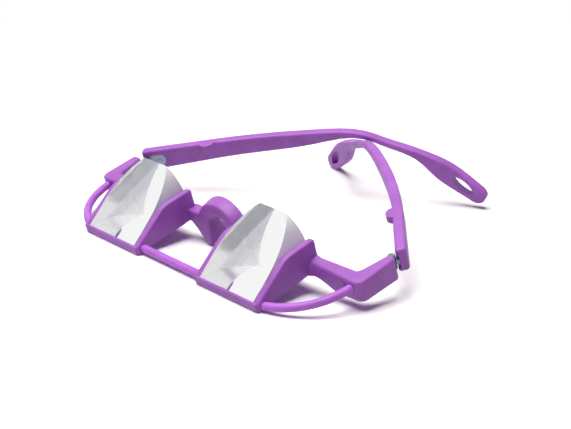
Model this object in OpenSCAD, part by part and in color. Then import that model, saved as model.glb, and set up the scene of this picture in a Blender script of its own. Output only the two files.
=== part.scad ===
// Belay glasses: two wedge prisms in a moulded front turn the view upwards by about 60 degrees.
// The model stands on a table, on the prism bars and on the tip of a half folded temple.
// The front is drawn level, with y = 0 and z = 0 at the front edge of the glass, and is then
// pitched so that it leans as it stands. +X is the wearer's left-to-right line, +Z is up.

/* [Prisms] */
// Distance between the middles of the two prisms
eye_spacing = 66; // [64:0.5:68]
// Width of one prism
prism_w = 28; // [27:0.5:29]
// Angle between the sloping face and the mirrored floor of a prism
wedge_angle = 32; // [31.5:0.5:33]
// Depth of a prism from its sharp front edge to its back face
prism_depth = 27; // [26:0.5:28]
// Height of the straight sides below the round crown of a prism
prism_side = 4.5; // [4:0.25:5]
// Thickness of the silvered and painted layer under a prism
mirror_t = 0.5; // [0.3:0.1:0.6]

/* [Front moulding] */
// Thickness of the cheeks that hold a prism on both sides
cheek_t = 2.5; // [2:0.25:3]
// Depth at which the sloping edge of a cheek turns level
cheek_turn = 15.7; // [14:0.1:17]
// How far the sloping edge of a cheek lies under the glass
cheek_drop = 0.9; // [0.6:0.1:1.1]
// Length of a cheek behind the back face of the prism
cheek_behind = 1.5; // [1.2:0.1:1.7]
// Rounding of the moulded edges
edge_r = 0.65; // [0.5:0.05:0.7]
// Height of the bar under the front edge of a prism
bar_h = 3.7; // [3.5:0.1:4]
// Width of the bar lip in front of the glass
bar_lip = 0.9; // [0.7:0.1:1.1]
// Thickness of the floor under a prism
floor_t = 1.8; // [1.4:0.1:2]
// Depth, front to back, at which the bar's flat foot ends
foot_back = 0.4; // [0.2:0.1:0.8]

/* [Nose saddle] */
// Outer radius of the saddle arch
saddle_r = 11.5; // [11:0.25:12]
// Height of the arch centre
saddle_z = -3; // [-3.5:0.1:-2.5]
// Half width of the channel for the nose
nose_r = 5.1; // [4.5:0.1:5.5]
// Depth of the saddle from front to back
saddle_depth = 5.4; // [5:0.1:6]
// How much deeper the saddle is at the ends of its legs
saddle_flare = 4.1; // [3.4:0.1:4.6]
// Lean of the saddle
saddle_lean = 6; // [4:0.5:8]

/* [Side arms] */
// Half width of the front over its outer corners
half_w = 72.5; // [71.5:0.25:73.5]
// Depth of the back end of the side arms
arm_back = 42; // [41.5:0.1:42.4]
// Depth of the arm's front face at its corner
arm_front = 24.1; // [23.5:0.1:24.5]
// Thickness of the arm between its corner and the hinge
arm_t = 5.9; // [5.5:0.1:6.2]
// Thickness of the arm at the hinge
arm_end_t = 3.7; // [3.5:0.1:4]

/* [Rods] */
// Diameter of the guard rods and of the lower bar
rod_d = 3; // [2.6:0.1:3.2]
// Radius of the bend of a guard rod
guard_r = 24.6; // [24:0.1:25]
// Height of the guard rods
guard_z = -1.9; // [-2:0.1:-1.7]
// How deep a rod sits in its socket
rod_seat = 1.4; // [1:0.1:1.8]

/* [Hinges] */
// Distance of a hinge axis inwards from the outer face of the arm
hinge_in = 4.2; // [3.9:0.1:4.5]
// Distance of a hinge axis behind the end of the arm
hinge_behind = 1.6; // [1.5:0.1:1.8]
// Height of the middle of a hinge
hinge_z = -3.8; // [-4.2:0.1:-3.5]
// Radius of the hinge knuckles
knuckle_r = 1.5; // [1.4:0.05:1.55]
// Height of one knuckle
knuckle_h = 1.6; // [1.4:0.1:1.8]
// Gap between neighbouring knuckles
knuckle_gap = 0.1; // [0.06:0.02:0.14]
// Radius of the hinge screw
screw_r = 0.7; // [0.6:0.05:0.8]
// Gap round the screw in the knuckles
screw_gap = 0.04; // [0.03:0.01:0.05]
// Thickness of the metal hinge leaves
leaf_t = 0.9; // [0.8:0.05:1]
// Height of the metal hinge leaves
leaf_h = 5.4; // [5:0.1:5.8]
// Length of the metal leaf in an arm
arm_leaf_len = 8.5; // [8:0.25:9]
// Length of the metal leaf in a temple
leaf_len = 7.75; // [7.25:0.25:8.5]
// Clearance round a leaf in its recess
leaf_gap = 0.05; // [0.03:0.01:0.08]

/* [Temples] */
// Length of a temple from the hinge axis
temple_len = 134; // [131:1:138]
// Length of the straight part of a temple
temple_straight = 26.5; // [25:0.5:28]
// Angle through which a temple bends inwards
temple_bend = 31.2; // [30:0.1:32]
// Width of a temple at its hinge, seen from the side
temple_w = 9; // [8.6:0.1:9.4]
// Thickness of a temple
temple_t = 3.9; // [3.7:0.1:4]
// Distance of a temple's inner face from the hinge axis
temple_off = 1.65; // [1.65:0.05:1.8]
// Distance of the thumb stop from the hinge axis
thumb_at = 25.5; // [24:0.5:27]
// Radius of the thumb stop
thumb_r = 3.1; // [2.8:0.1:3.4]
// Width of the pointed hole for a lanyard near the tip
hole_w = 3.4; // [3:0.1:3.8]
// Radius of the two arcs that bound the hole
hole_r = 6.5; // [6:0.1:7]
// Slope of the hole down the tail
hole_turn = 44; // [40:1:48]
// Fold of the left temple, from straight back
fold_left = 41; // [40:0.5:41]
// Fold of the right temple, from straight back
fold_right = 45.5; // [45.5:0.5:46.5]
// Lean of the front as it stands
pitch = 16.5; // [16:0.1:17]

/* [Hidden] */

violet = [0.68, 0.4, 0.8];
x_in = eye_spacing / 2 - prism_w / 2;
x_out = eye_spacing / 2 + prism_w / 2;
crown_r = prism_w / 2;
prism_h = prism_depth * tan(wedge_angle);
cheek_end = prism_depth + cheek_behind;
cheek_top = cheek_turn * tan(wedge_angle) - cheek_drop;
floor_z = -mirror_t - floor_t;
foot_z = -bar_h + (bar_lip + foot_back) * tan(pitch);
lift = bar_h * cos(pitch) - foot_back * sin(pitch);
lip_top = 0.1;
rod_fit = 0.02;
barrel_h = 3 * knuckle_h + 2 * knuckle_gap;
hinge_x = half_w - hinge_in;
hinge_y = arm_back + hinge_behind;
// Lateral line of the arm's inner face, which the front leaf follows
arm_in_front = [half_w - arm_t, arm_front + arm_t];
arm_in_back = [half_w - arm_end_t, arm_back - 0.5];
arm_taper = atan((arm_t - arm_end_t) / (arm_in_back[1] - arm_in_front[1]));
// Temple arc: its radius, and the stop angle past straight at which its end meets the arm
bend_r = (temple_len - temple_straight) * 180 / (PI * temple_bend);
stop = 8;
butt_gap = 0.05;
butt = hinge_y - arm_back - butt_gap;
// Stations of a temple: distance along it, height of its middle line, width of the blade
temple_line = [for (q = [[0, -3.1, 9], [30, -4.8, 7.6], [60, -6.35, 6.4], [84, -6.3, 2.8], [98, -11.8, 2.7],
               [109, -16.9, 3.9], [119, -24.7, 8.8], [130.5, -34.05, 7.2]])
    [q[0] * temple_len / 134, q[1] * temple_len / 134, q[2] * temple_w / 9]];

// Points of an arc about c with radius r from angle a to angle b in n steps
function arc(c, r, a, b, n) = [for (i = [0:n]) c + r * [cos(a + (b - a) * i / n), sin(a + (b - a) * i / n)]];
// Cubic through b and c at t, with neighbours a and d
function cubic(a, b, c, d, t) =
    0.5 * (2 * b + (c - a) * t + (2 * a - 5 * b + 4 * c - d) * t * t + (3 * b - a - 3 * c + d) * t * t * t);
// A list of stations with n steps between each pair
function smooth(p, n) =
    let (m = len(p) - 1, a = 2 * p[0] - p[1], b = 2 * p[m] - p[m - 1])
    [for (i = [0:m - 1]) for (k = [0:i == m - 1 ? n : n - 1])
        cubic(i == 0 ? a : p[i - 1], p[i], p[i + 1], i == m - 1 ? b : p[i + 2], k / n)];
// A polygon with its corners cut back by the third number of each point and rounded
function rounded(p, n = 4) =
    let (m = len(p))
    [for (i = [0:m - 1])
        let (b = [p[i][0], p[i][1]], e = p[(i + m - 1) % m], f = p[(i + 1) % m],
             u = [e[0], e[1]] - b, v = [f[0], f[1]] - b, d = p[i][2])
        for (k = [0:d > 0 ? n : 0])
            let (t = k / n, g = b + u * d / norm(u), h = b + v * d / norm(v))
            d > 0 ? (1 - t) * (1 - t) * g + 2 * t * (1 - t) * b + t * t * h : b];
// A counter-clockwise outline moved inwards by d
function inset(p, d) =
    let (m = len(p))
    [for (i = [0:m - 1])
        let (a = p[i] - p[(i + m - 1) % m], b = p[(i + 1) % m] - p[i], u = a / norm(a) + b / norm(b),
             w = u / norm(u), c = (w * a) / norm(a))
        p[i] + d / max(c, 0.5) * [-w[1], w[0]]];
// Bilinear point in the section with corners q at u, v
function mix4(q, u, v) = (1 - v) * ((1 - u) * q[0] + u * q[1]) + v * ((1 - u) * q[3] + u * q[2]);
// A ring with rounded corners in the four-sided section q
function ring(q, r, n = 3) =
    let (lu = (norm(q[1] - q[0]) + norm(q[2] - q[3])) / 2, lv = (norm(q[3] - q[0]) + norm(q[2] - q[1])) / 2,
         a = min(r / lu, 0.49), b = min(r / lv, 0.49))
    [for (c = [0:3]) for (k = [0:n])
        let (t = 180 + 90 * c + 90 * k / n,
             u = (c == 0 || c == 3 ? a : 1 - a) + a * cos(t),
             v = (c < 2 ? b : 1 - b) + b * sin(t))
        mix4(q, u, v)];
// Narrows the section q by d on all sides
function shrink(q, d) =
    let (u = d / norm(q[1] - q[0]), v = d / norm(q[3] - q[0]))
    [mix4(q, u, v), mix4(q, 1 - u, v), mix4(q, 1 - u, 1 - v), mix4(q, u, 1 - v)];

// Skin over a list of rings, closed at both ends, across the ring where that is a bent strip
module skin(rings, strip = false) {
    n = len(rings[0]);
    m = len(rings);
    cap = !strip ? [[for (i = [0:n - 1]) i]]
        : [for (i = [0:n / 2 - 2]) for (f = [[i, i + 1, n - 2 - i], [i, n - 2 - i, n - 1 - i]]) f];
    polyhedron(
        points = [for (r = rings) for (p = r) p],
        faces = concat(
            [for (f = cap) [for (i = [len(f) - 1:-1:0]) f[i]]],
            [for (j = [0:m - 2]) for (i = [0:n - 1]) for (k = [0, 1])
                k == 0 ? [j * n + i, j * n + (i + 1) % n, (j + 1) * n + (i + 1) % n]
                       : [j * n + i, (j + 1) * n + (i + 1) % n, (j + 1) * n + i]],
            [for (f = cap) [for (i = f) (m - 1) * n + i]]));
}

// Plate of thickness t along +Z with a rounded rim of radius r on both sides
module plate(outline, t, r) {
    skin(concat(
        [for (a = [0, 45, 90]) [for (p = inset(outline, r * (1 - sin(a)))) [p[0], p[1], t - r * (1 - cos(a))]]],
        [for (a = [90, 45, 0]) [for (p = inset(outline, r * (1 - sin(a)))) [p[0], p[1], r * (1 - cos(a))]]]));
}

// Draws its children where they lie as the front stands on the table
module stand() {
    translate([0, -y_mid, lift]) rotate([pitch, 0, 0]) children();
}

// Draws its children on the right, or mirrored on the left
module on_side(side) {
    mirror([side < 0 ? 1 : 0, 0, 0]) children();
}

// Draws a side's children in the frame of its temple, with the hinge axis as the origin
module on_temple(side) {
    stand() on_side(side) translate([hinge_x, hinge_y, 0])
        rotate([0, 0, side < 0 ? fold_left : fold_right]) children();
}

// Glass wedge with a round crown, cut by the sloping face
module prism_solid() {
    intersection() {
        rotate([90, 0, 0]) translate([0, 0, -prism_depth]) linear_extrude(prism_depth) union() {
            translate([x_in, 0]) square([prism_w, prism_side]);
            intersection() {
                translate([eye_spacing / 2, prism_side]) circle(r = crown_r, $fn = 96);
                translate([x_in, prism_side]) square([prism_w, crown_r]);
            }
        }
        rotate([90, 0, 90]) translate([0, 0, x_in - 1]) linear_extrude(prism_w + 2)
            polygon([[0, 0], [prism_depth, 0], [prism_depth, prism_h]]);
    }
}

module prism(side) {
    color([0.93, 0.95, 0.96]) stand() on_side(side) prism_solid();
}

// Silvering and its paint on the floor face of the prism
module mirror_layer(side) {
    color([0.55, 0.57, 0.6]) stand() on_side(side)
        translate([x_in, 0, -mirror_t]) cube([prism_w, prism_depth, mirror_t]);
}

// Side view of a cheek, as depth and height
cheek_outline = rounded([
    [-0.6, -bar_h + 0.4, 1.2], [cheek_end, floor_z - 0.6, 1.3], [cheek_end, cheek_top - 0.3, 1.05],
    [cheek_turn, cheek_top, 2.5], [-0.6, -0.2, 1.2]]);

module cheek(x) {
    translate([x, 0, 0]) rotate([90, 0, 90]) plate(cheek_outline, cheek_t, edge_r);
}

// Bar under the front edge of the glass, with the flat foot that meets the table
module bar() {
    rotate([90, 0, 90]) translate([0, 0, x_in - cheek_t + edge_r])
        linear_extrude(prism_w + 2 * cheek_t - 2 * edge_r)
            polygon(rounded([[-bar_lip, foot_z, 0.25], [foot_back, -bar_h, 0.2], [2.4, -bar_h, 1],
                             [2.4, -mirror_t, 0], [0, -mirror_t, 0], [0, lip_top, 0.05],
                             [-bar_lip, lip_top, 0.45]]));
}

// Section of the side arm at x, front top first, between the cheek and the corner
function arm_bottom(x) =
    let (a = x_out + cheek_t + 2.5, t = min(max((x - a) / (arm_in_front[0] - 3.6 - a), 0), 1))
    -2.9 - 4.2 * t * t * (3 - 2 * t);
function arm_section(x) =
    let (t = (x - x_out - cheek_t) / (arm_in_front[0] - x_out - cheek_t),
         flare = max(0, 1 - (x - x_out - cheek_t) / 2) * 0.5)
    [[x, 24.9 - 0.7 * t - flare, 1.3 - 0.4 * t + flare], [x, 28.3 + 1.7 * t + flare * 0.2, 2.1 - 1.3 * t + flare],
     [x, 28.3 + 1.7 * t + flare * 0.2, arm_bottom(x) - flare * 0.5], [x, 22.6 + 1.6 * t - flare * 0.5, arm_bottom(x) - flare * 0.5]];
// Section between a point on the outer face and a point on the inner face of the arm
function end_section(o, i) =
    let (t = max(0, (o[1] - arm_front) / (arm_back - arm_front)), top = 0.9 - 0.2 * t, low = -7.1 - 1.1 * t)
    [[o[0], o[1], top], [i[0], i[1], top - 0.05], [i[0], i[1], low], [o[0], o[1], low]];
function arm_inner(y) =
    arm_in_front + (arm_in_back - arm_in_front) * (y - arm_in_front[1]) / (arm_in_back[1] - arm_in_front[1]);

// Side arm from the cheek round the corner to the hinge
module side_arm() {
    corner = 3;
    fan = concat(
        [[[arm_in_front[0] + 1.4, arm_front + 0.05], arm_in_front + [-0.6, -0.03]]],
        [for (k = [0:5]) let (a = -90 + 18 * k)
            [[half_w - corner, arm_front + corner] + corner * [cos(a), sin(a)],
             arm_in_front + [-0.4 + 0.1 * k, 0.2 * k]]],
        [[[half_w, arm_in_front[1] + 0.2], arm_inner(arm_in_front[1] + 1.5)]]);
    straight = [for (y = [33, 36, 39, arm_back - 1.5]) [[half_w, y], arm_inner(y + (y < 34 ? 0.6 : 0))]];
    tail = end_section([half_w, arm_back], [half_w - arm_end_t, arm_back]);
    start = x_out + cheek_t;
    skin(concat(
        [for (x = [start - 1.2, start, start + 0.7, start + 1.3, start + 2]) ring(arm_section(x), 0.9)],
        [for (k = [0:7]) ring(arm_section(start + 3.5 + (arm_in_front[0] - 3.1 - start - 3.5) * k / 7), 0.9)],
        [for (f = fan) ring(end_section(f[0], f[1]), 0.9)],
        [for (f = straight) ring(end_section(f[0], f[1]), 0.9)],
        [for (d = [[-1.1, 0], [-0.5, 0.22], [-0.14, 0.6], [0, 1]])
            [for (p = ring(shrink(tail, d[1]), 0.9 - 0.3 * d[1])) p + [0, d[0], 0]]]));
}

// Front view of the saddle's right half from the top down, its arch grown by g
saddle_arm_z = 2;
saddle_end = x_in - 1.2;
leg_z = -10;
function saddle_out(g) =
    let (r = saddle_r + g)
    concat(
        arc([0, saddle_z], r, 90, 41, 10),
        rounded([[r * cos(34), saddle_z + r * sin(34), 0],
                 [sqrt(r * r - pow(saddle_arm_z - saddle_z, 2)) + 0.1, saddle_arm_z, 0.9],
                 [saddle_end, saddle_arm_z, 0], [saddle_end, -2.8, 0], [15.6, -2.8, 0.6],
                 [13, -4.9, 1.2], [nose_r + 3, leg_z, 1.1], [nose_r + 1.7, leg_z, 0]], 3));
// The channel side of the same half, with as many points
saddle_in =
    let (foot = rounded([[nose_r, -0.9, 0], [nose_r + 0.3, leg_z + 0.1, 1.1], [nose_r + 3, leg_z, 0]], 3))
    concat(
        arc([0, -0.9], nose_r, 90, 0, 17),
        [for (k = [1:9]) [nose_r + 0.03 * k, -0.9 - 0.8 * k]],
        [for (k = [1:4]) foot[k]]);
function saddle_outline(g) =
    let (a = saddle_out(g), b = saddle_in, m = len(a) - 1)
    concat(
        [for (i = [m:-1:0]) a[i]], [for (i = [1:m]) [-a[i][0], a[i][1]]],
        [for (i = [m:-1:0]) [-b[i][0], b[i][1]]], [for (i = [1:m]) b[i]]);

// Depth at height z of the point that lies d deep in the arch
function saddle_at(z, d) =
    let (t = min(max((1 - z) / 10, 0), 1))
    d + d / saddle_depth * saddle_flare * t * t * (3 - 2 * t);

// Saddle between the inner cheeks that bears on the nose
module saddle() {
    r = edge_r;
    levels = [for (a = [0, 45, 90]) [saddle_depth - r * (1 - cos(a)), r * (1 - sin(a))],
              for (a = [90, 45, 0]) [r * (1 - cos(a)), r * (1 - sin(a))]];
    translate([0, 24.4, 0]) rotate([90 - saddle_lean, 0, 0]) mirror([0, 0, 1])
        skin([for (l = levels) [for (p = inset(saddle_outline(1.3 * l[0] / saddle_depth), l[1]))
                                 [p[0], p[1], saddle_at(p[1], l[0])]]],
             strip = true);
}

// Path of a guard rod in its own plane, for the rod and for its sockets
guard_c = [half_w - 28.9, arm_front + 1.9];
guard_a = -acos((x_out + cheek_t - rod_seat - guard_c[0]) / guard_r);
guard_b = -asin((guard_c[1] - arm_front - rod_seat) / guard_r);
module guard_path(r) {
    translate([guard_c[0], guard_c[1], guard_z]) rotate([0, 0, guard_a])
        rotate_extrude(angle = guard_b - guard_a, $fn = 120)
            translate([guard_r, 0]) circle(r = r, $fn = 32);
}
module lower_path(r) {
    translate([-x_in + cheek_t - rod_seat, rod_d / 2 + 0.8, -rod_d / 2 - 0.2]) rotate([0, 90, 0])
        cylinder(r = r, h = 2 * (x_in - cheek_t + rod_seat), $fn = 48);
}

// Plan of the leaf that lies in the inner face of the arm
module front_leaf(grow) {
    translate([arm_in_back[0], arm_in_back[1], hinge_z]) rotate([0, 0, arm_taper * -1])
        translate([-0.01 - grow, -arm_leaf_len - grow, -leaf_h / 2 - grow])
            cube([leaf_t + 0.01 + 2 * grow, arm_leaf_len + 0.9 + 2 * grow, leaf_h + 2 * grow]);
}

module front_frame() {
    color(violet) stand() difference() {
        union() {
            for (side = [-1, 1]) on_side(side) {
                cheek(x_in - cheek_t);
                cheek(x_out);
                bar();
                translate([x_in - 0.6, 1, floor_z]) cube([prism_w + 1.2, cheek_end - 1.4, floor_t]);
                side_arm();
            }
            saddle();
        }
        for (side = [-1, 1]) on_side(side) {
            guard_path(rod_d / 2 + rod_fit);
            front_leaf(leaf_gap);
            for (k = [0, 1]) front_rivet(k, 0);
        }
        lower_path(rod_d / 2 + rod_fit);
    }
}

module guard_rod(side) {
    color(violet) stand() on_side(side) guard_path(rod_d / 2);
}

module lower_bar() {
    color(violet) stand() lower_path(rod_d / 2);
}

// Rivet k of the leaf in the arm, from the leaf outwards into the plastic
module front_rivet(k, gap) {
    translate([arm_in_back[0], arm_in_back[1], hinge_z]) rotate([0, 0, -arm_taper])
        translate([-0.25 - gap, -2.6 - 3.6 * k, 0]) rotate([0, 90, 0])
            cylinder(r = 0.6, h = 2.4, $fn = 32);
}

// Rivet k of the leaf in the temple
module temple_rivet(k) {
    translate([temple_off - 0.25, 2.8 + 2.4 * k, hinge_z]) rotate([0, 90, 0]) cylinder(r = 0.6, h = 2.4, $fn = 32);
}

module knuckle(z) {
    translate([0, 0, z]) cylinder(r = knuckle_r, h = knuckle_h, $fn = 48);
}

module front_hinge(side) {
    z0 = hinge_z - barrel_h / 2;
    color([0.45, 0.46, 0.5]) stand() on_side(side) difference() {
        union() {
            intersection() {
                front_leaf(0);
                translate([hinge_x - 8, hinge_y - 14, -12]) cube([16, 14 - (hinge_y - arm_back) - 0.05, 16]);
            }
            translate([hinge_x, hinge_y, 0]) for (z = [z0, z0 + 2 * (knuckle_h + knuckle_gap)]) {
                knuckle(z);
                translate([0, 0, z]) linear_extrude(knuckle_h)
                    polygon([[0.35, -2.9], [1.25, -2.75], [1.43, -0.35], [-0.6, -1.3]]);
            }
        }
        translate([hinge_x, hinge_y, z0 - 1]) cylinder(r = screw_r + screw_gap, h = barrel_h + 2, $fn = 48);
        translate([hinge_x, hinge_y, z0 + knuckle_h]) cylinder(r = knuckle_r + 0.25, h = knuckle_h + 2 * knuckle_gap, $fn = 48);
        for (k = [0, 1]) front_rivet(k, 0);
    }
}

// Leaf in the inner face of a temple, with a round end
module temple_leaf(grow) {
    translate([temple_off - 0.01 - grow, 0, 0]) rotate([0, 90, 0]) linear_extrude(leaf_t + 0.01 + 2 * grow) union() {
        translate([-hinge_z - leaf_h / 2 - grow, -1.6]) square([leaf_h + 2 * grow, leaf_len - leaf_h / 2 + 1.6]);
        translate([-hinge_z, leaf_len - leaf_h / 2]) circle(r = leaf_h / 2 + grow, $fn = 48);
    }
}

module temple_hinge(side) {
    z1 = hinge_z - knuckle_h / 2;
    color([0.62, 0.66, 0.74]) on_temple(side) difference() {
        union() {
            difference() {
                temple_leaf(0);
                translate([0, -5, -12]) cube([6, 6, 16]);
            }
            translate([0, 0, z1]) cylinder(r = knuckle_r, h = knuckle_h, $fn = 48);
            translate([0, -0.6, z1]) cube([temple_off + leaf_t, 1.8, knuckle_h]);
        }
        translate([0, 0, z1 - 1]) cylinder(r = screw_r + screw_gap, h = knuckle_h + 2, $fn = 48);
        for (k = [0, 1]) temple_rivet(k);
    }
}

module hinge_screw(side) {
    z0 = hinge_z - barrel_h / 2;
    color([0.4, 0.4, 0.44]) stand() on_side(side) translate([hinge_x, hinge_y, 0]) difference() {
        union() {
            translate([0, 0, z0]) cylinder(r = screw_r, h = barrel_h, $fn = 48);
            translate([0, 0, z0 + barrel_h]) cylinder(r = 1.2, h = 0.4, $fn = 48);
        }
        translate([-2, -0.15, z0 + barrel_h + 0.2]) cube([4, 0.3, 1]);
    }
}

module front_rivets(side) {
    color([0.6, 0.6, 0.64]) stand() on_side(side) for (k = [0, 1]) front_rivet(k, 0);
}

module temple_rivets(side) {
    color([0.6, 0.6, 0.64]) on_temple(side) for (k = [0, 1]) temple_rivet(k);
}

// Plan position of the point at distance s along a temple and offset o to its outer side
function temple_xy(s, o) =
    s <= temple_straight ? [o, s]
    : let (a = (s - temple_straight) / bend_r * 180 / PI)
      [-bend_r * (1 - cos(a)) + o * cos(a), temple_straight + bend_r * sin(a) + o * sin(a)];
// Section of a temple at a point of its side view, square to direction d, outer top first
function temple_section(at, d, w) =
    let (n = [-d[1], d[0]] * w / 2, t = at + n, b = at - n)
    [for (q = [[t, 1], [t, 0], [b, 0], [b, 1]])
        let (xy = temple_xy(q[0][0], temple_off + q[1] * temple_t)) [xy[0], xy[1], q[0][1]]];
// The front end of a temple is cut so that it meets the arm when the temple is opened past straight
function butt_y(o) = (-butt + o * sin(stop)) / cos(stop);
function temple_front(d, y) =
    let (a = temple_off, b = temple_off + temple_t, z = temple_line[0][1], h = temple_line[0][2] / 2,
         q = [[b, butt_y(b) + y, z + h], [a, butt_y(a) + y, z + h], [a, butt_y(a) + y, z - h], [b, butt_y(b) + y, z - h]])
    shrink(q, d);
temple_rings =
    let (l = smooth(temple_line, 4), m = len(l) - 1,
         p = [for (q = l) [q[0], q[1]]], u = p[m] - p[m - 1], e = u / norm(u), r = l[m][2] / 2)
    concat(
        [for (d = [[0.9, 0], [0.5, 0.12], [0.2, 0.45], [0, 1]]) ring(temple_front(d[0], d[1]), 0.9 - 0.3 * d[0])],
        [for (i = [1:m - 1]) let (v = p[i + 1] - p[i - 1]) ring(temple_section(p[i], v / norm(v), l[i][2]), 0.9)],
        [for (a = [0, 25, 48, 66, 80])
            ring(temple_section(p[m] + e * r * sin(a), e, 2 * r * cos(a)), min(0.9, r * cos(a) * 0.8))]);

// Hole for a lanyard near the tip, the shape where two cylinders cross
module lanyard_hole() {
    k = temple_len / 134;
    s = 125.5 * k;
    at = temple_xy(s, temple_off);
    translate([at[0], at[1], -29.7 * k]) rotate([0, 0, (s - temple_straight) / bend_r * 180 / PI]) rotate([0, 90, 0])
        rotate([0, 0, hole_turn])
            intersection_for (d = [-1, 1]) {
                translate([0, d * (hole_r - hole_w / 2), -3]) cylinder(r = hole_r, h = 10, $fn = 64);
            }
}

// Half-round stop on the inner side that rests on the hinge end when the temple is folded
module thumb_bump() {
    translate([temple_off + 0.8, thumb_at, -3.3]) cylinder(r = thumb_r, h = 2.7, $fn = 48);
}

module temple(side) {
    color(violet) on_temple(side) difference() {
        union() {
            skin(temple_rings);
            intersection() {
                thumb_bump();
                translate([-5, thumb_at - 10, -10]) cube([temple_off + 5.5, 20, 20]);
            }
        }
        temple_leaf(leaf_gap);
        for (k = [0, 1]) temple_rivet(k);
        lanyard_hole();
    }
}

// Depth of the middle of the standing model, between the bar and the farthest temple ring
function turned(p, f) = [p[0] * cos(f) - p[1] * sin(f) + hinge_x, p[0] * sin(f) + p[1] * cos(f) + hinge_y, p[2]];
function world_y(p) = p[1] * cos(pitch) - p[2] * sin(pitch);
y_back = max([for (r = temple_rings) for (p = r) max(world_y(turned(p, fold_left)), world_y(turned(p, fold_right)))]);
y_front = world_y([0, -bar_lip, lip_top - 0.3]);
y_mid = (y_back + y_front) / 2;

front_frame();
prism(-1);  // prism_left
prism(1);  // prism_right
mirror_layer(-1);  // mirror_layer_left
mirror_layer(1);  // mirror_layer_right
guard_rod(-1);  // guard_rod_left
guard_rod(1);  // guard_rod_right
lower_bar();
front_hinge(-1);  // front_hinge_left
front_hinge(1);  // front_hinge_right
temple_hinge(-1);  // temple_hinge_left
temple_hinge(1);  // temple_hinge_right
hinge_screw(-1);  // hinge_screw_left
hinge_screw(1);  // hinge_screw_right
front_rivets(-1);  // front_rivets_left
front_rivets(1);  // front_rivets_right
temple_rivets(-1);  // temple_rivets_left
temple_rivets(1);  // temple_rivets_right
temple(-1);  // temple_left
temple(1);  // temple_right
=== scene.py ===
"""Belay glasses: looks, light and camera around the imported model.

The moulded front, rods and temples are satin violet plastic. The wedge prisms are polished
glass with a silvered floor, and the hinges are stamped metal. All lengths are in metres.
"""
import math
from contextlib import contextmanager

import bpy
from bpy.props import FloatProperty, FloatVectorProperty, PointerProperty
from bpy.types import Operator, Panel, PropertyGroup
from mathutils import Matrix, Vector


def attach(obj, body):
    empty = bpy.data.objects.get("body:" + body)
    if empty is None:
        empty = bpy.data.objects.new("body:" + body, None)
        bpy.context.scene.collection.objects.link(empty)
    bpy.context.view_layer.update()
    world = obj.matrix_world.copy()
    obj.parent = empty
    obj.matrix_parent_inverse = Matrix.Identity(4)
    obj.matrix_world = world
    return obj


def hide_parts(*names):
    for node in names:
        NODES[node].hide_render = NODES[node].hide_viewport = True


bl_info = {
    "name": "Belay glasses",
    "version": (1, 0, 0),
    "blender": (4, 5, 0),
    "location": "3D View > Sidebar > Glasses",
    "description": "Dresses the prism belay glasses and sets their light and camera",
    "category": "Object",
}

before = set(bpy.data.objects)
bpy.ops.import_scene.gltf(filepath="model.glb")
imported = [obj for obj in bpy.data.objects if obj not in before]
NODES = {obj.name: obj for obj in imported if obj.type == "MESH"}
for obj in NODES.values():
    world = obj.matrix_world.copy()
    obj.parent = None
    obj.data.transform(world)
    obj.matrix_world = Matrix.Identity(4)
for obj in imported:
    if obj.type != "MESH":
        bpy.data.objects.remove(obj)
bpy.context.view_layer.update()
MM = 0.001
SIDES = ("left", "right")
# The floor of a prism rises by this angle towards the back, as the front stands on the table
LEAN = math.radians(16.5)
FLOOR_NORMAL = (0.0, -math.sin(LEAN), math.cos(LEAN))
# Cosine above which a face counts as lying in a plane
SAME_WAY = 0.99


def lowest(node, direction):
    """How far down a CAD node reaches along a direction."""
    return min(Vector(direction).dot(v.co) for v in node.data.vertices)


# Where the glass meets its silvering, along the floor's normal
FLOOR_LEVEL = lowest(NODES["prism_left"], FLOOR_NORMAL)


def widest_face(node, side):
    """Normal of the largest flat face of a CAD node that looks to the front (-1) or back (1)."""
    areas = {}
    for face in node.data.polygons:
        if face.normal.y * side > 0.5:
            key = tuple(round(c, 2) for c in face.normal)
            areas.setdefault(key, []).append(face)
    faces = max(areas.values(), key=lambda group: sum(face.area for face in group))
    return tuple(faces[0].normal)


FRONT_FACE, BACK_FACE = (widest_face(NODES["prism_left"], side) for side in (-1, 1))


# ---------------------------------------------------------------- shader helpers
# Rays that feel out each rounded edge
EDGE_SAMPLES = 6


class Value:
    """An output socket that takes part in Python arithmetic by adding Math nodes."""

    def __init__(self, board, socket):
        self.board, self.socket = board, socket

    def _with(self, operation, *others):
        node = self.board.node("Math", {"operation": operation}, [self, *others])
        return Value(self.board, node.outputs[0])

    def __add__(self, other):
        return self._with("ADD", other)

    def __sub__(self, other):
        return self._with("SUBTRACT", other)

    def __rsub__(self, other):
        node = self.board.node("Math", {"operation": "SUBTRACT"}, [other, self])
        return Value(self.board, node.outputs[0])

    def __mul__(self, other):
        return self._with("MULTIPLY", other)

    __radd__ = __add__
    __rmul__ = __mul__

    def over(self, edge):
        """1 where the value is greater than edge, else 0."""
        return self._with("GREATER_THAN", edge)

    def most(self, other):
        """The greater of the two values."""
        return self._with("MAXIMUM", other)

    def step(self, start, end):
        """0 before start, 1 after end, smooth between them."""
        node = self.board.node(
            "MapRange",
            {"interpolation_type": "SMOOTHSTEP"},
            {"Value": self, "From Min": start, "From Max": end},
        )
        return Value(self.board, node.outputs[0])


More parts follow.
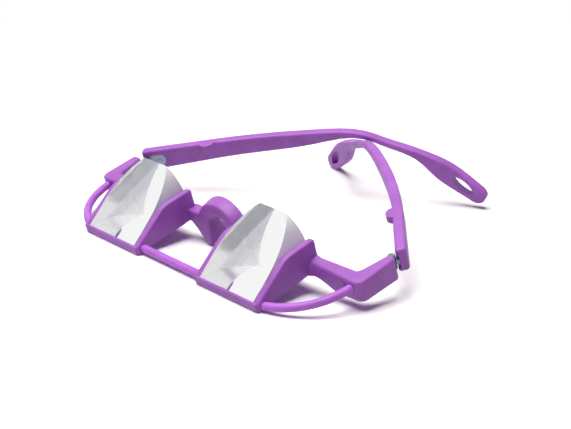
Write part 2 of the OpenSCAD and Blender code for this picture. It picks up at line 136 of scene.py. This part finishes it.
class Board:
    """The node tree of one material or of the world."""

    def __init__(self, owner):
        owner.use_nodes = True
        self.tree = owner.node_tree
        self.tree.nodes.clear()

    def node(self, kind, settings=None, sockets=None):
        """Adds a node, makes its settings, then fills its inputs by name or in order."""
        made = self.tree.nodes.new("ShaderNode" + kind)
        for name, value in (settings or {}).items():
            setattr(made, name, value)
        pairs = sockets.items() if isinstance(sockets, dict) else enumerate(sockets or [])
        for key, value in pairs:
            self.fill(made.inputs[key], value)
        return made

    def fill(self, socket, value):
        """Links a value, socket or node to an input, or sets the input to a number or colour."""
        if isinstance(value, Value):
            self.tree.links.new(value.socket, socket)
        elif isinstance(value, bpy.types.NodeSocket):
            self.tree.links.new(value, socket)
        elif isinstance(value, bpy.types.Node):
            self.tree.links.new(value.outputs[0], socket)
        elif socket.type == "RGBA" and len(value) == 3:
            socket.default_value = (*value, 1.0)
        else:
            socket.default_value = value

    def value(self, node, output=0):
        """One output of a node, ready for arithmetic."""
        return Value(self, node.outputs[output])

    def here(self):
        """Object coordinates, in metres."""
        return self.node("TexCoord").outputs["Object"]

    def stretched(self, scale, turn):
        """Object coordinates, turned and scaled."""
        sockets = {"Vector": self.here(), "Rotation": turn, "Scale": scale}
        return self.node("Mapping", sockets=sockets).outputs[0]

    def noise(self, size, detail, rough, at=None):
        """Cloudy noise whose blots are about size across, in metres."""
        sockets = {
            "Vector": at or self.here(),
            "Scale": 1.0 / size,
            "Detail": detail,
            "Roughness": rough,
        }
        return self.value(self.node("TexNoise", sockets=sockets))

    def bumps(self, height, depth, under=None):
        """A normal with relief of this depth, over another normal if one is given."""
        inputs = {"Height": height, "Distance": depth, "Strength": 1.0}
        if under is not None:
            inputs["Normal"] = under
        return self.node("Bump", sockets=inputs).outputs[0]

    def soft_edge(self, radius):
        """A normal that rounds the sharp edges by this radius."""
        return self.node("Bevel", {"samples": EDGE_SAMPLES}, {"Radius": radius}).outputs[0]

    def blend(self, mask, a, b):
        """Colour a where the mask is 0, colour b where it is 1."""
        node = self.node("Mix", {"data_type": "RGBA"})
        for socket, value in zip((node.inputs[0], node.inputs[6], node.inputs[7]), (mask, a, b)):
            self.fill(socket, value)
        return node.outputs[2]

    def along(self, vector, direction):
        """How far a vector reaches in a direction."""
        node = self.node("VectorMath", {"operation": "DOT_PRODUCT"}, [vector, direction])
        return self.value(node, "Value")

    def surface(self, sockets):
        """A Principled shader with these inputs."""
        return self.node("BsdfPrincipled", sockets=sockets)

    def show(self, shader):
        """Makes the shader the surface of the material."""
        self.node("OutputMaterial", sockets={"Surface": shader})


def finish_of(name):
    """A new material and its empty board."""
    material = bpy.data.materials.new(name)
    return material, Board(material)


def coat_with(material, *pieces):
    """Gives the pieces this one material."""
    for piece in pieces:
        piece.data.materials.clear()
        piece.data.materials.append(material)


def glasses():
    """The colours that the user has set."""
    return bpy.context.scene.belay_glasses


# ---------------------------------------------------------------- finishes
GLASS_INDEX = 1.52
PLASTIC_INDEX = 1.5
# The bare silvering and its tarnished patches
SILVER, TARNISHED = (0.95, 0.955, 0.96), (0.88, 0.885, 0.9)
# The protective paint under the silvering, in its dark and pale mottles
PAINT_DARK, PAINT_PALE = (0.17, 0.16, 0.18), (0.26, 0.25, 0.28)
SILVER_THICKNESS = 0.2 * MM
# A ray that has bounced more often than this inside a prism finds an even grey glow there: painted
# light that stands in for the light of the reflections that are cut off
LAST_REFLECTION = 3.5
PAINTED_GLOW_COLOUR, PAINTED_GLOW_STRENGTH = (0.84, 0.84, 0.88), 0.82
# The skin of ground glass: its colour, and how much it hides within the block and from outside
MILK = (0.82, 0.8, 0.86)
MILK_WITHIN, MILK_OUTSIDE = 0.16, 0.16


def violet_plastic(name, seed, grain=1.0, painted_light_gain=1.0):
    """Satin moulded plastic: fine spark-eroded grain and faint flow clouds. Its whole colour is
    scaled by a gain, painted light that makes some parts' copy of the same plastic brighter.
    """
    look = glasses()
    material, b = finish_of(name)
    at = b.stretched((1.0, 1.0, 1.0), (0.0, 0.0, seed))
    cloud = b.noise(9 * MM, 4.0, 0.55, at)
    speck = b.noise(0.35 * MM, 2.0, 0.6, at)
    grit = b.noise(0.16 * MM, 2.0, 0.5, at)
    flow = b.noise(22 * MM, 2.0, 0.5, b.stretched((1.0, 0.35, 1.0), (0.3, 0.0, seed)))
    # Painted light: the same plastic colour scaled up for parts that should look more brightly lit
    base = tuple(c * painted_light_gain for c in look.plastic)
    deep = tuple(c * 0.9 for c in base)
    pale = tuple(min(1.0, c * 1.08 + 0.012) for c in base)
    colour = b.blend(cloud.step(0.3, 0.7), deep, pale)
    colour = b.blend(flow.step(0.45, 0.75) * 0.35, colour, base)
    rounded = b.soft_edge(0.22 * MM)
    relief = speck * 0.5 + grit * 0.5
    b.show(b.surface({
        "Base Color": colour,
        "Roughness": look.plastic_rough + (speck - 0.5) * 0.10 + (cloud - 0.5) * 0.06,
        "Normal": b.bumps(relief, 0.012 * MM * grain, rounded),
        "IOR": PLASTIC_INDEX,
        "Specular IOR Level": 0.42,
        "Coat Weight": 0.2,
        "Coat Roughness": 0.55,
        "Subsurface Weight": 0.12,
        "Subsurface Radius": (0.9, 0.35, 1.0),
        "Subsurface Scale": 1.1 * MM,
    }))
    return material


def clear_glass(b, rough):
    """The shader of the prisms' own glass, polished or ground."""
    return b.surface({
        "Base Color": tuple(glasses().glass),
        "Roughness": rough,
        "Transmission Weight": 1.0,
        "IOR": GLASS_INDEX,
    })


def late_light(b, shader):
    """The shader, with an even grey glow instead after the last reflection inside the block:
    painted light in place of the light those cut-off reflections would bring.
    """
    late = b.value(b.node("LightPath"), "Glossy Depth").over(LAST_REFLECTION)
    # Painted light: an emission glow, not a lamp, standing in for the light of further reflections
    grey = b.node("Emission", sockets={"Color": PAINTED_GLOW_COLOUR, "Strength": PAINTED_GLOW_STRENGTH})
    b.show(b.node("MixShader", sockets=[late, shader, grey]))


def polished_glass(name):
    """Clear optical glass with faint cleaning smears."""
    material, b = finish_of(name)
    smear = b.noise(6 * MM, 3.0, 0.6, b.stretched((1.0, 1.0, 0.4), (0.5, 0.0, 0.4)))
    late_light(b, clear_glass(b, smear.step(0.5, 0.85) * 0.02))
    return material


def ground_glass(name):
    """The finely ground sides of a prism, satin and a little milky."""
    material, b = finish_of(name)
    grit = b.noise(0.12 * MM, 2.0, 0.6)
    glass = clear_glass(b, 0.21 + grit * 0.07)
    milk = b.surface({"Base Color": MILK, "Roughness": 0.5})
    cloud = b.noise(5 * MM, 2.0, 0.5)
    # The ground skin looks milkier from outside than from within the block
    outside = 1.0 - b.value(b.node("NewGeometry"), "Backfacing")
    share = MILK_WITHIN + cloud * 0.12 + outside * MILK_OUTSIDE
    late_light(b, b.node("MixShader", sockets=[share, glass, milk]))
    return material


def silvered_floor(name):
    """The silvering under a prism, as the glass sees it, with the faintest tarnish."""
    material, b = finish_of(name)
    tarnish = b.noise(4 * MM, 3.0, 0.6)
    b.show(b.surface({
        "Base Color": b.blend(tarnish.step(0.5, 0.8) * 0.3, SILVER, TARNISHED),
        "Metallic": 1.0,
        "Roughness": 0.0,
    }))
    return material


def mirror_backing(name):
    """Silvering on top, with the grey protective paint below and on the rim."""
    material, b = finish_of(name)
    mottle = b.noise(0.8 * MM, 3.0, 0.6)
    paint = b.surface({
        "Base Color": b.blend(mottle.step(0.35, 0.65), PAINT_DARK, PAINT_PALE),
        "Roughness": 0.45 + mottle * 0.2,
        "Normal": b.bumps(mottle, 0.02 * MM),
    })
    silver = b.surface({"Base Color": SILVER, "Metallic": 1.0, "Roughness": 0.0})
    top = b.along(b.here(), FLOOR_NORMAL).over(FLOOR_LEVEL - SILVER_THICKNESS)
    b.show(b.node("MixShader", sockets=[top, paint, silver]))
    return material


def stamped_metal(name, colour, rough, turn):
    """Bright sheet metal with rolling lines, softened edges and faint tarnish."""
    material, b = finish_of(name)
    lines = b.noise(0.9 * MM, 2.0, 0.6, b.stretched((14.0, 1.0, 14.0), turn))
    stain = b.noise(2.2 * MM, 3.0, 0.6)
    dull = tuple(c * 0.72 for c in colour)
    b.show(b.surface({
        "Base Color": b.blend(stain.step(0.4, 0.75) * 0.55, colour, dull),
        "Metallic": 1.0,
        "Roughness": rough + lines * 0.16 + stain.step(0.5, 0.8) * 0.08,
        "Normal": b.bumps(lines, 0.012 * MM, b.soft_edge(0.2 * MM)),
    }))
    return material


# ---------------------------------------------------------------- modelling helpers
# Points closer than this are one point
MERGE = 1e-6
# Faces that turn by less than this are one flat face
FLAT_TURN = math.radians(0.4)
# How far the glass keeps off its cradle and its silvering
GLASS_GAP = 0.02 * MM
# The lanyard hole lies within this distance of a temple's rear tip
HOOK_LENGTH = 22 * MM
# Longest way across the hole, and how far off a wall the look across it starts
HOLE_SPAN, WALL_OFFSET = 5 * MM, 0.02 * MM
# The hole's length and width against the CAD's, on the wearer's side and on the outer side
HOLE_INNER, HOLE_OUTER = (1.4, 1.25), (1.7, 1.55)
# The cutter's ends, in half thicknesses of the blade, and the steps of each of its two arcs
CUTTER_ENDS, ARC_STEPS = (-1.5, 1.5), 20


def clear_selection():
    """Leaves any edit mode and selects nothing."""
    if bpy.context.object and bpy.context.object.mode != "OBJECT":
        bpy.ops.object.mode_set(mode="OBJECT")
    bpy.ops.object.select_all(action="DESELECT")


def pick(piece):
    """Makes the piece the only selected and active object."""
    clear_selection()
    piece.select_set(True)
    bpy.context.view_layer.objects.active = piece


@contextmanager
def whole_mesh(piece):
    """Edit mode with all of the piece's mesh selected, for the lines under it."""
    pick(piece)
    bpy.ops.object.mode_set(mode="EDIT")
    bpy.ops.mesh.select_all(action="SELECT")
    yield
    bpy.ops.object.mode_set(mode="OBJECT")


def apply(piece, kind, **settings):
    """Adds a modifier to the piece with these settings and applies it."""
    pick(piece)
    modifier = piece.modifiers.new(kind.lower(), kind)
    for name, value in settings.items():
        setattr(modifier, name, value)
    bpy.ops.object.modifier_apply(modifier=modifier.name)


def twin(name, node, shrink=0.0):
    """A merged copy of a CAD node with its flat faces joined, shrunk on all sides if asked."""
    source = NODES[node]
    piece = source.copy()
    piece.data = source.data.copy()
    piece.name = piece.data.name = name
    bpy.context.scene.collection.objects.link(piece)
    with whole_mesh(piece):
        bpy.ops.mesh.remove_doubles(threshold=MERGE)
        bpy.ops.mesh.dissolve_limited(angle_limit=FLAT_TURN)
        if shrink:
            bpy.ops.transform.shrink_fatten(value=-shrink, use_even_offset=True)
    return piece


def soften(piece, width, sharp, smooth):
    """Rounds the edges sharper than one angle and smooths the shading under the other."""
    apply(
        piece, "BEVEL", width=width, segments=1, limit_method="ANGLE",
        angle_limit=math.radians(sharp), use_clamp_overlap=True,
    )
    with whole_mesh(piece):
        bpy.ops.mesh.dissolve_degenerate(threshold=MERGE)
    bpy.ops.object.shade_smooth_by_angle(angle=math.radians(smooth))


def lanyard_hole(piece):
    """Middle of a temple's hole, its ways along, across and through, and half its sizes."""
    bpy.context.view_layer.update()
    mesh = piece.data
    rear = max(v.co.y for v in mesh.vertices) - HOOK_LENGTH
    # A wall of the hole faces another wall a few millimetres away
    walls = []
    for face in mesh.polygons:
        start = face.center + face.normal * WALL_OFFSET
        if face.center.y > rear and piece.ray_cast(start, face.normal, distance=HOLE_SPAN)[0]:
            walls.append(face)
    corners = sorted({i for face in walls for i in face.vertices})
    rim = [mesh.vertices[i].co.copy() for i in corners]
    middle = sum(rim, Vector()) / len(rim)
    turns = (walls[0].normal.cross(face.normal) for face in walls)
    through = max(turns, key=lambda turn: turn.length).normalized()
    if through.y < 0.0:
        through = -through
    spokes = [spot - middle for spot in rim]
    flat = (spoke - through * through.dot(spoke) for spoke in spokes)
    along = max(flat, key=lambda spoke: spoke.length).normalized()
    ways = along, through.cross(along), through
    return middle, ways, [max(abs(way.dot(spoke)) for spoke in spokes) for way in ways]


def lens_bar(name, middle, ways, ends):
    """A bar whose section is a lens of two arcs; ends lists half length, half width and place."""
    along, across, through = ways
    points = []
    for length, width, place in ends:
        radius = (length ** 2 + width ** 2) / (2 * width)
        for side in (1, -1):
            for k in range(ARC_STEPS):
                x = length * side * (2 * k / ARC_STEPS - 1)
                y = side * (math.sqrt(radius ** 2 - x ** 2) - radius + width)
                points.append(middle + along * x + across * y + through * place)
    count = 2 * ARC_STEPS
    faces = [tuple(range(count)), tuple(range(2 * count - 1, count - 1, -1))]
    faces += [(k, k + count, (k + 1) % count + count, (k + 1) % count) for k in range(count)]
    mesh = bpy.data.meshes.new(name)
    mesh.from_pydata(points, [], faces)
    bar = bpy.data.objects.new(name, mesh)
    bpy.context.scene.collection.objects.link(bar)
    with whole_mesh(bar):
        bpy.ops.mesh.normals_make_consistent(inside=False)
    return bar


def widen_hole(piece):
    """Cuts a temple's lanyard hole larger, and flares it towards the outer side."""
    middle, ways, half = lanyard_hole(piece)
    ends = []
    for end in CUTTER_ENDS:
        length, width = (
            size * (0.5 * (inner + outer) + 0.5 * end * (outer - inner))
            for size, inner, outer in zip(half, HOLE_INNER, HOLE_OUTER)
        )
        ends.append((length, width, end * half[2]))
    cutter = lens_bar("hole_cutter", middle, ways, ends)
    apply(piece, "BOOLEAN", operation="DIFFERENCE", solver="EXACT", object=cutter)
    # Taking the mesh away takes its object along
    bpy.data.meshes.remove(cutter.data)


# ---------------------------------------------------------------- settings
class BelayGlassesLook(PropertyGroup):
    """Colours and roughness of the finishes"""

    plastic: FloatVectorProperty(
        name="Plastic", description="Colour of the moulded front, rods and temples",
        subtype="COLOR", default=(0.335, 0.088, 0.48), min=0.0, max=1.0)
    plastic_rough: FloatProperty(
        name="Plastic roughness", description="Roughness of the moulded surface",
        default=0.48, min=0.0, max=1.0, subtype="FACTOR")
    glass: FloatVectorProperty(
        name="Glass", description="Tint of the prisms",
        subtype="COLOR", default=(0.985, 0.99, 0.99), min=0.0, max=1.0)
    leaf: FloatVectorProperty(
        name="Hinge leaf", description="Colour of the stamped hinge leaves",
        subtype="COLOR", default=(0.24, 0.26, 0.36), min=0.0, max=1.0)
    screw: FloatVectorProperty(
        name="Screw", description="Colour of screws and rivets",
        subtype="COLOR", default=(0.27, 0.285, 0.37), min=0.0, max=1.0)


class BelayGlassesStage(PropertyGroup):
    """Camera, table, lamp and sky"""

    aim: FloatVectorProperty(
        name="Aim", description="Point that the camera looks at",
        subtype="TRANSLATION", unit="LENGTH", default=(0.06273, -0.06568, 0.038536))
    distance: FloatProperty(
        name="Distance", description="From the camera to its aim",
        unit="LENGTH", default=0.40457, min=0.05)
    azimuth: FloatProperty(
        name="Azimuth", description="Turn of the camera round the glasses",
        subtype="ANGLE", default=math.radians(47.905))
    elevation: FloatProperty(
        name="Elevation", description="Height angle of the camera",
        subtype="ANGLE", default=math.radians(20.796))
    lens: FloatProperty(
        name="Lens", description="Focal length, in millimetres", default=82.695, min=10.0)
    paper: FloatVectorProperty(
        name="Table", description="Colour of the table",
        subtype="COLOR", default=(0.9, 0.9, 0.9), min=0.0, max=1.0)
    lamp_power: FloatProperty(
        name="Lamp", description="Power of the overhead lamp, in watts", default=12.5, min=0.0)
    lamp_size: FloatProperty(
        name="Lamp size", description="Width and depth of the overhead lamp",
        unit="LENGTH", default=0.75, min=0.01)
    sky: FloatProperty(
        name="Sky", description="Strength of the light from all round", default=0.1, min=0.0)


# ---------------------------------------------------------------- operators
class BELAY_OT_front(Operator):
    """Moulded front, guard rods and lower bar in satin plastic"""

    bl_idname = "belay.front"
    bl_label = "Front and rods"

    def execute(self, context):
        front = twin("front", "front_frame")
        soften(front, 0.08 * MM, sharp=50.0, smooth=32.0)
        coat_with(violet_plastic("violet_front", seed=0.4), front, NODES["front_frame"])
        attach(front, "front")
        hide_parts("front_frame")
        # The rods and lower bar get a copy of the plastic painted lighter, standing in for the
        # brighter light that falls on them
        coat_with(
            violet_plastic("violet_rods", seed=1.3, grain=0.7, painted_light_gain=1.34),
            NODES["guard_rod_left"], NODES["guard_rod_right"], NODES["lower_bar"],
        )
        return {"FINISHED"}


class BELAY_OT_temples(Operator):
    """Both temples in satin plastic"""

    bl_idname = "belay.temples"
    bl_label = "Temples"

    def execute(self, context):
        # The temples get a copy of the plastic painted a little lighter, standing in for the
        # brighter light at the back
        plastic = violet_plastic("violet_temples", seed=2.1, painted_light_gain=1.06)
        for side in SIDES:
            temple = twin("blade_" + side, "temple_" + side)
            widen_hole(temple)
            soften(temple, 0.05 * MM, sharp=60.0, smooth=35.0)
            coat_with(plastic, temple, NODES["temple_" + side])
            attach(temple, side + "_temple")
            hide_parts("temple_" + side)
        return {"FINISHED"}


class BELAY_OT_prisms(Operator):
    """Glass wedges and the silvered layer under each"""

    bl_idname = "belay.prisms"
    bl_label = "Prisms"

    def execute(self, context):
        backing = mirror_backing("mirror_backing")
        polished, ground, silver = finishes = (
            polished_glass("polished_glass"),
            ground_glass("ground_glass"),
            silvered_floor("silvered_floor"),
        )
        for side in SIDES:
            block = twin("glass_" + side, "prism_" + side, GLASS_GAP)
            block.data.materials.clear()
            for finish in finishes:
                block.data.materials.append(finish)
            for face in block.data.polygons:
                looks = face.normal
                if looks.dot(Vector(FLOOR_NORMAL)) < -SAME_WAY:
                    finish = silver
                elif max(looks.dot(Vector(FRONT_FACE)), looks.dot(Vector(BACK_FACE))) < SAME_WAY:
                    finish = ground
                else:
                    finish = polished
                face.material_index = finishes.index(finish)
            pick(block)
            bpy.ops.object.shade_smooth_by_angle(angle=math.radians(20.0))
            coat_with(polished, NODES["prism_" + side])
            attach(block, "front")
            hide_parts("prism_" + side)
            coat_with(backing, NODES["mirror_layer_" + side])
        return {"FINISHED"}


class BELAY_OT_hinges(Operator):
    """Hinge leaves, screws and rivets in metal"""

    bl_idname = "belay.hinges"
    bl_label = "Hinges"

    def execute(self, context):
        look = glasses()
        leaf = stamped_metal("leaf_metal", tuple(look.leaf), rough=0.2, turn=(0.0, 0.0, 0.7))
        turned = stamped_metal("screw_metal", tuple(look.screw), rough=0.24, turn=(0.0, 0.0, 0.0))
        for side in SIDES:
            for name in ("front_hinge_", "temple_hinge_"):
                coat_with(leaf, NODES[name + side])
            for name in ("hinge_screw_", "front_rivets_", "temple_rivets_"):
                coat_with(turned, NODES[name + side])
        return {"FINISHED"}


# The table's side, and the ring in which its paper fades to plain white
TABLE_SIDE, FADE_START, FADE_END = 6.0, 0.16, 0.4
# Share of that white which glass and gloss see all over the table
EVEN_SHARE = 0.6
# Paper that a camera sees is brighter, and paper that lights the glasses darker, by these shares
SEEN_EXTRA, LIT_SHARE = 0.28, 0.76
WHITE = (1.0, 1.0, 1.0)
LAMP_PLACE, LAMP_COLOUR = (-0.06, -0.2, 0.9), (1.0, 0.975, 0.95)
UP = (0.0, 0.0, 1.0)
# Where the photographer stands, as seen from the glasses
PHOTOGRAPHER = (0.631, -0.662, 0.419)
WALL, CEILING = (0.98, 0.98, 0.97), (0.8, 0.8, 0.81)
DIM_SIDE, DARK_CLOTHES = (0.72, 0.735, 0.775), (0.04, 0.05, 0.08)
# Cosines, off straight up or off the photographer, between which each of them sets in
CEILING_RING, DIM_RING, DARK_RING = (0.55, 0.95), (0.35, 0.93), (0.977, 0.99)
SOFT_SKY = (0.95, 0.96, 1.0)
SENSOR_WIDTH = 36.0


def rays(b):
    """Which rays come from the camera, and which from gloss or glass."""
    path = b.node("LightPath")
    kinds = ("Is Camera Ray", "Is Glossy Ray", "Is Transmission Ray")
    camera, glossy, transmitted = (b.value(path, kind) for kind in kinds)
    return camera, glossy.most(transmitted)


class BELAY_OT_stage(Operator):
    """Table, lamp, sky and camera"""

    bl_idname = "belay.stage"
    bl_label = "Stage"

    def table(self, stage):
        """White paper that fades to plain white away from the glasses."""
        clear_selection()
        bpy.ops.mesh.primitive_plane_add(size=TABLE_SIDE, location=(0.0, 0.0, 0.0))
        table = bpy.context.object
        table.name = "table"
        material, b = finish_of("table_paper")
        camera, through = rays(b)
        away = b.value(b.node("VectorMath", {"operation": "LENGTH"}, [b.here()]), "Value")
        # Glass and gloss see an evener table than the camera does
        far = away.step(FADE_START, FADE_END).most(through * EVEN_SHARE)
        paper, extra, matt = (
            b.node("BsdfDiffuse", sockets={"Color": tuple(c * share for c in stage.paper)})
            for share in (1.0, SEEN_EXTRA, LIT_SHARE)
        )
        glow = b.node("Emission", sockets={"Color": WHITE, "Strength": 1.0})
        seen = camera.most(through)
        bright = b.node("AddShader", sockets=[paper, extra])
        near = b.node("MixShader", sockets=[seen, matt, bright])
        b.show(b.node("MixShader", sockets=[seen * far, near, glow]))
        coat_with(material, table)

    def lamp(self, stage):
        """One large soft lamp overhead, turned to the glasses."""
        light = bpy.data.lights.new("overhead", "AREA")
        light.shape, light.size, light.energy = "SQUARE", stage.lamp_size, stage.lamp_power
        light.color = LAMP_COLOUR
        lamp = bpy.data.objects.new("overhead", light)
        bpy.context.scene.collection.objects.link(lamp)
        lamp.location = LAMP_PLACE
        lamp.rotation_euler = (-Vector(LAMP_PLACE)).to_track_quat("-Z", "Y").to_euler()

    def sky(self, stage):
        """Plain white for the camera, a pale room for glass and gloss, soft light for the rest."""
        world = bpy.data.worlds.new("studio")
        bpy.context.scene.world = world
        b = Board(world)
        camera, through = rays(b)
        way = b.node("TexCoord").outputs["Generated"]
        near = b.along(way, PHOTOGRAPHER)
        room = b.blend(b.along(way, UP).step(*CEILING_RING), WALL, CEILING)
        # The room is dimmer on the photographer's side, and dark at the photographer
        room = b.blend(near.step(*DIM_RING), room, DIM_SIDE)
        room = b.blend(near.step(*DARK_RING), room, DARK_CLOTHES)
        white, pale, soft = (
            b.node("Background", sockets={"Color": colour, "Strength": strength})
            for colour, strength in ((WHITE, 1.0), (room, 1.0), (SOFT_SKY, stage.sky))
        )
        seen = b.node("MixShader", sockets=[through, soft, pale])
        mixed = b.node("MixShader", sockets=[camera, seen, white])
        b.node("OutputWorld", sockets={"Surface": mixed})

    def camera(self, stage):
        """The photograph's own view."""
        view = bpy.data.cameras.new("photo_view")
        view.sensor_fit, view.sensor_width, view.lens = "HORIZONTAL", SENSOR_WIDTH, stage.lens
        view.clip_start, view.clip_end = 0.01, 20.0
        camera = bpy.data.objects.new("photo_view", view)
        bpy.context.scene.collection.objects.link(camera)
        a, e = stage.azimuth, stage.elevation
        back = Vector((math.sin(a) * math.cos(e), -math.cos(a) * math.cos(e), math.sin(e)))
        right = Vector((math.cos(a), math.sin(a), 0.0))
        turn = Matrix((right, back.cross(right), back)).transposed().to_4x4()
        camera.matrix_world = Matrix.Translation(Vector(stage.aim) + back * stage.distance) @ turn
        bpy.context.scene.camera = camera

    def execute(self, context):
        stage = context.scene.belay_stage
        self.table(stage)
        self.lamp(stage)
        self.sky(stage)
        self.camera(stage)
        context.scene.view_settings.view_transform = "Standard"
        return {"FINISHED"}


class BELAY_PT_panel(Panel):
    """Settings and steps of the belay glasses"""

    bl_label = "Belay glasses"
    bl_space_type = "VIEW_3D"
    bl_region_type = "UI"
    bl_category = "Glasses"

    def draw(self, context):
        for group in (context.scene.belay_glasses, context.scene.belay_stage):
            for name in group.bl_rna.properties.keys():
                if name not in ("rna_type", "name"):
                    self.layout.prop(group, name)
        for step in STEPS:
            self.layout.operator(step.bl_idname)


STEPS = (BELAY_OT_front, BELAY_OT_temples, BELAY_OT_prisms, BELAY_OT_hinges, BELAY_OT_stage)
CLASSES = (BelayGlassesLook, BelayGlassesStage, *STEPS, BELAY_PT_panel)


def register():
    """Adds the classes and their settings to Blender."""
    for cls in CLASSES:
        bpy.utils.register_class(cls)
    bpy.types.Scene.belay_glasses = PointerProperty(type=BelayGlassesLook)
    bpy.types.Scene.belay_stage = PointerProperty(type=BelayGlassesStage)


def unregister():
    """Takes the classes and their settings out again."""
    del bpy.types.Scene.belay_stage
    del bpy.types.Scene.belay_glasses
    for cls in reversed(CLASSES):
        bpy.utils.unregister_class(cls)


def main():
    """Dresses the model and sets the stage."""
    register()
    clear_selection()
    bpy.ops.belay.front()
    bpy.ops.belay.temples()
    bpy.ops.belay.prisms()
    bpy.ops.belay.hinges()
    bpy.ops.belay.stage()


if __name__ == "__main__":
    main()
